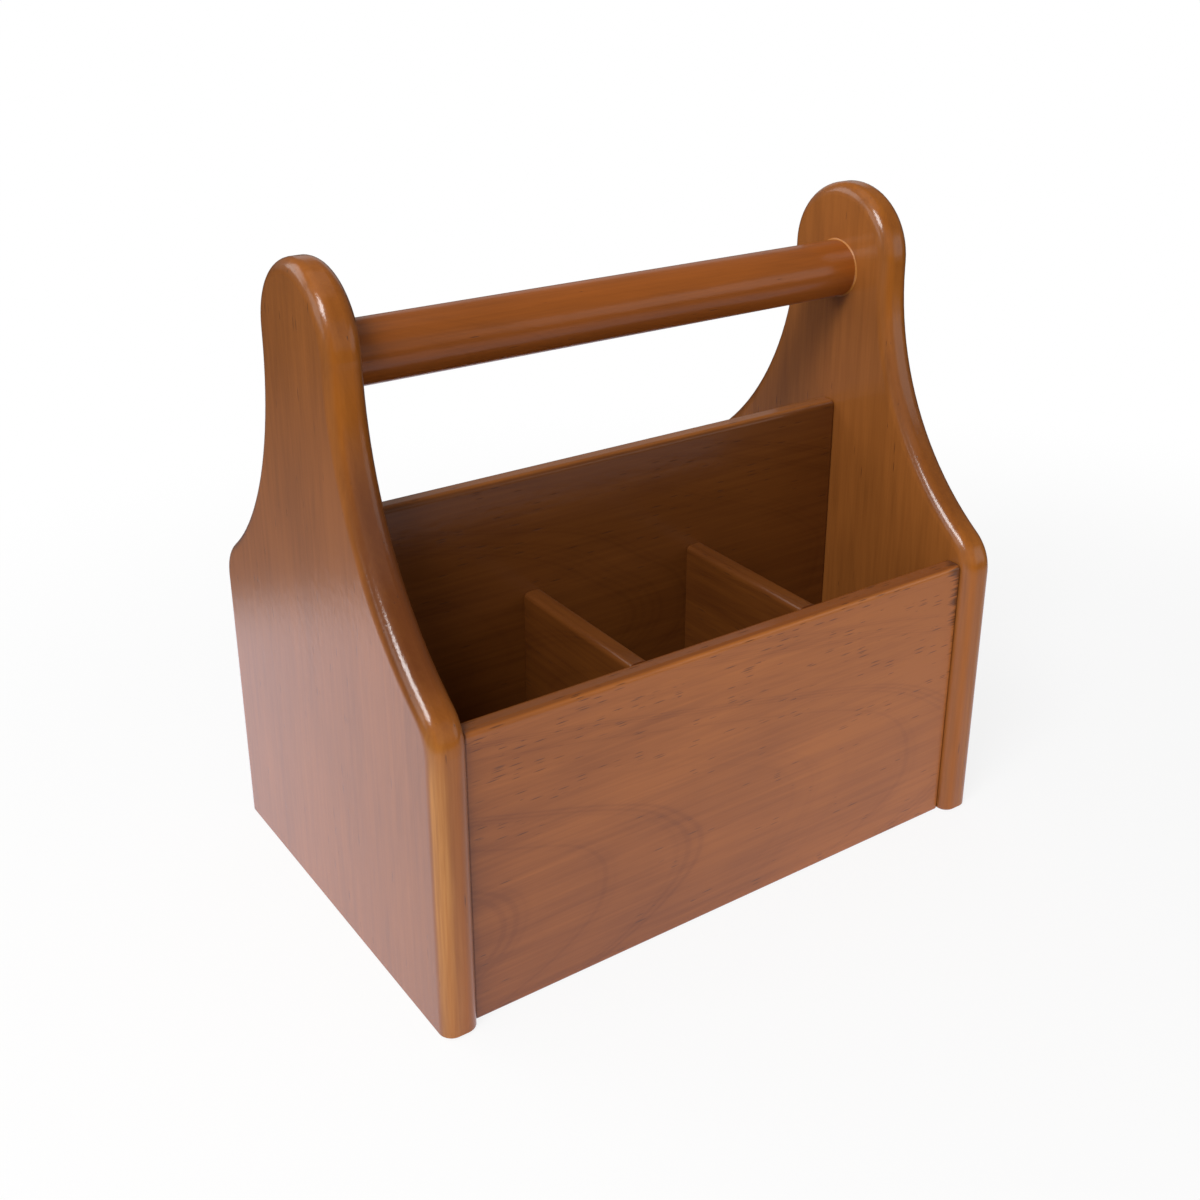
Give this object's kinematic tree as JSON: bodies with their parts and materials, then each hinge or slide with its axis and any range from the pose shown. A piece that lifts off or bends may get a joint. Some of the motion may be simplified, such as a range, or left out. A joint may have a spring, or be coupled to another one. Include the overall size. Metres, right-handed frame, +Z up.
{
  "type": "condiment caddy",
  "caption": "Open wooden table caddy: shaped side panels joined by a round carrying handle, with square front bays and two rear bays.",
  "frame": {"origin": "centre of the footprint, on the surface the caddy stands on", "axes": "+X to the right along the handle, +Y to the back, +Z up"},
  "size_m": [0.22, 0.15, 0.2195],
  "materials": {
    "side_panel_wood": "walnut-stained hardwood under clear satin-gloss lacquer, vertical grain",
    "board_wood": "walnut-stained hardwood under clear satin-gloss lacquer, grain along the board",
    "inner_board_wood": "walnut-stained hardwood under thin clear lacquer, grain along the board",
    "handle_wood": "turned hardwood dowel, stained and lacquered, grain along the rod",
    "pin_wood": "bare beech dowel pins, glued"
  },
  "bodies": {
    "root": {"left_side_panel": "side_panel_wood", "right_side_panel": "side_panel_wood", "front_board": "board_wood", "back_board": "board_wood", "middle_board": "inner_board_wood", "base_board": "inner_board_wood", "front_divider_left": "inner_board_wood", "front_divider_right": "inner_board_wood", "rear_divider": "inner_board_wood", "handle_rod": "handle_wood", "front_board_left_pins": "pin_wood", "front_board_right_pins": "pin_wood", "back_board_left_pins": "pin_wood", "back_board_right_pins": "pin_wood", "middle_board_left_pins": "pin_wood", "middle_board_right_pins": "pin_wood", "base_board_left_pins": "pin_wood", "base_board_right_pins": "pin_wood", "front_divider_left_pins": "pin_wood", "front_divider_right_pins": "pin_wood", "rear_divider_pins": "pin_wood"}
  },
  "joints": []
}
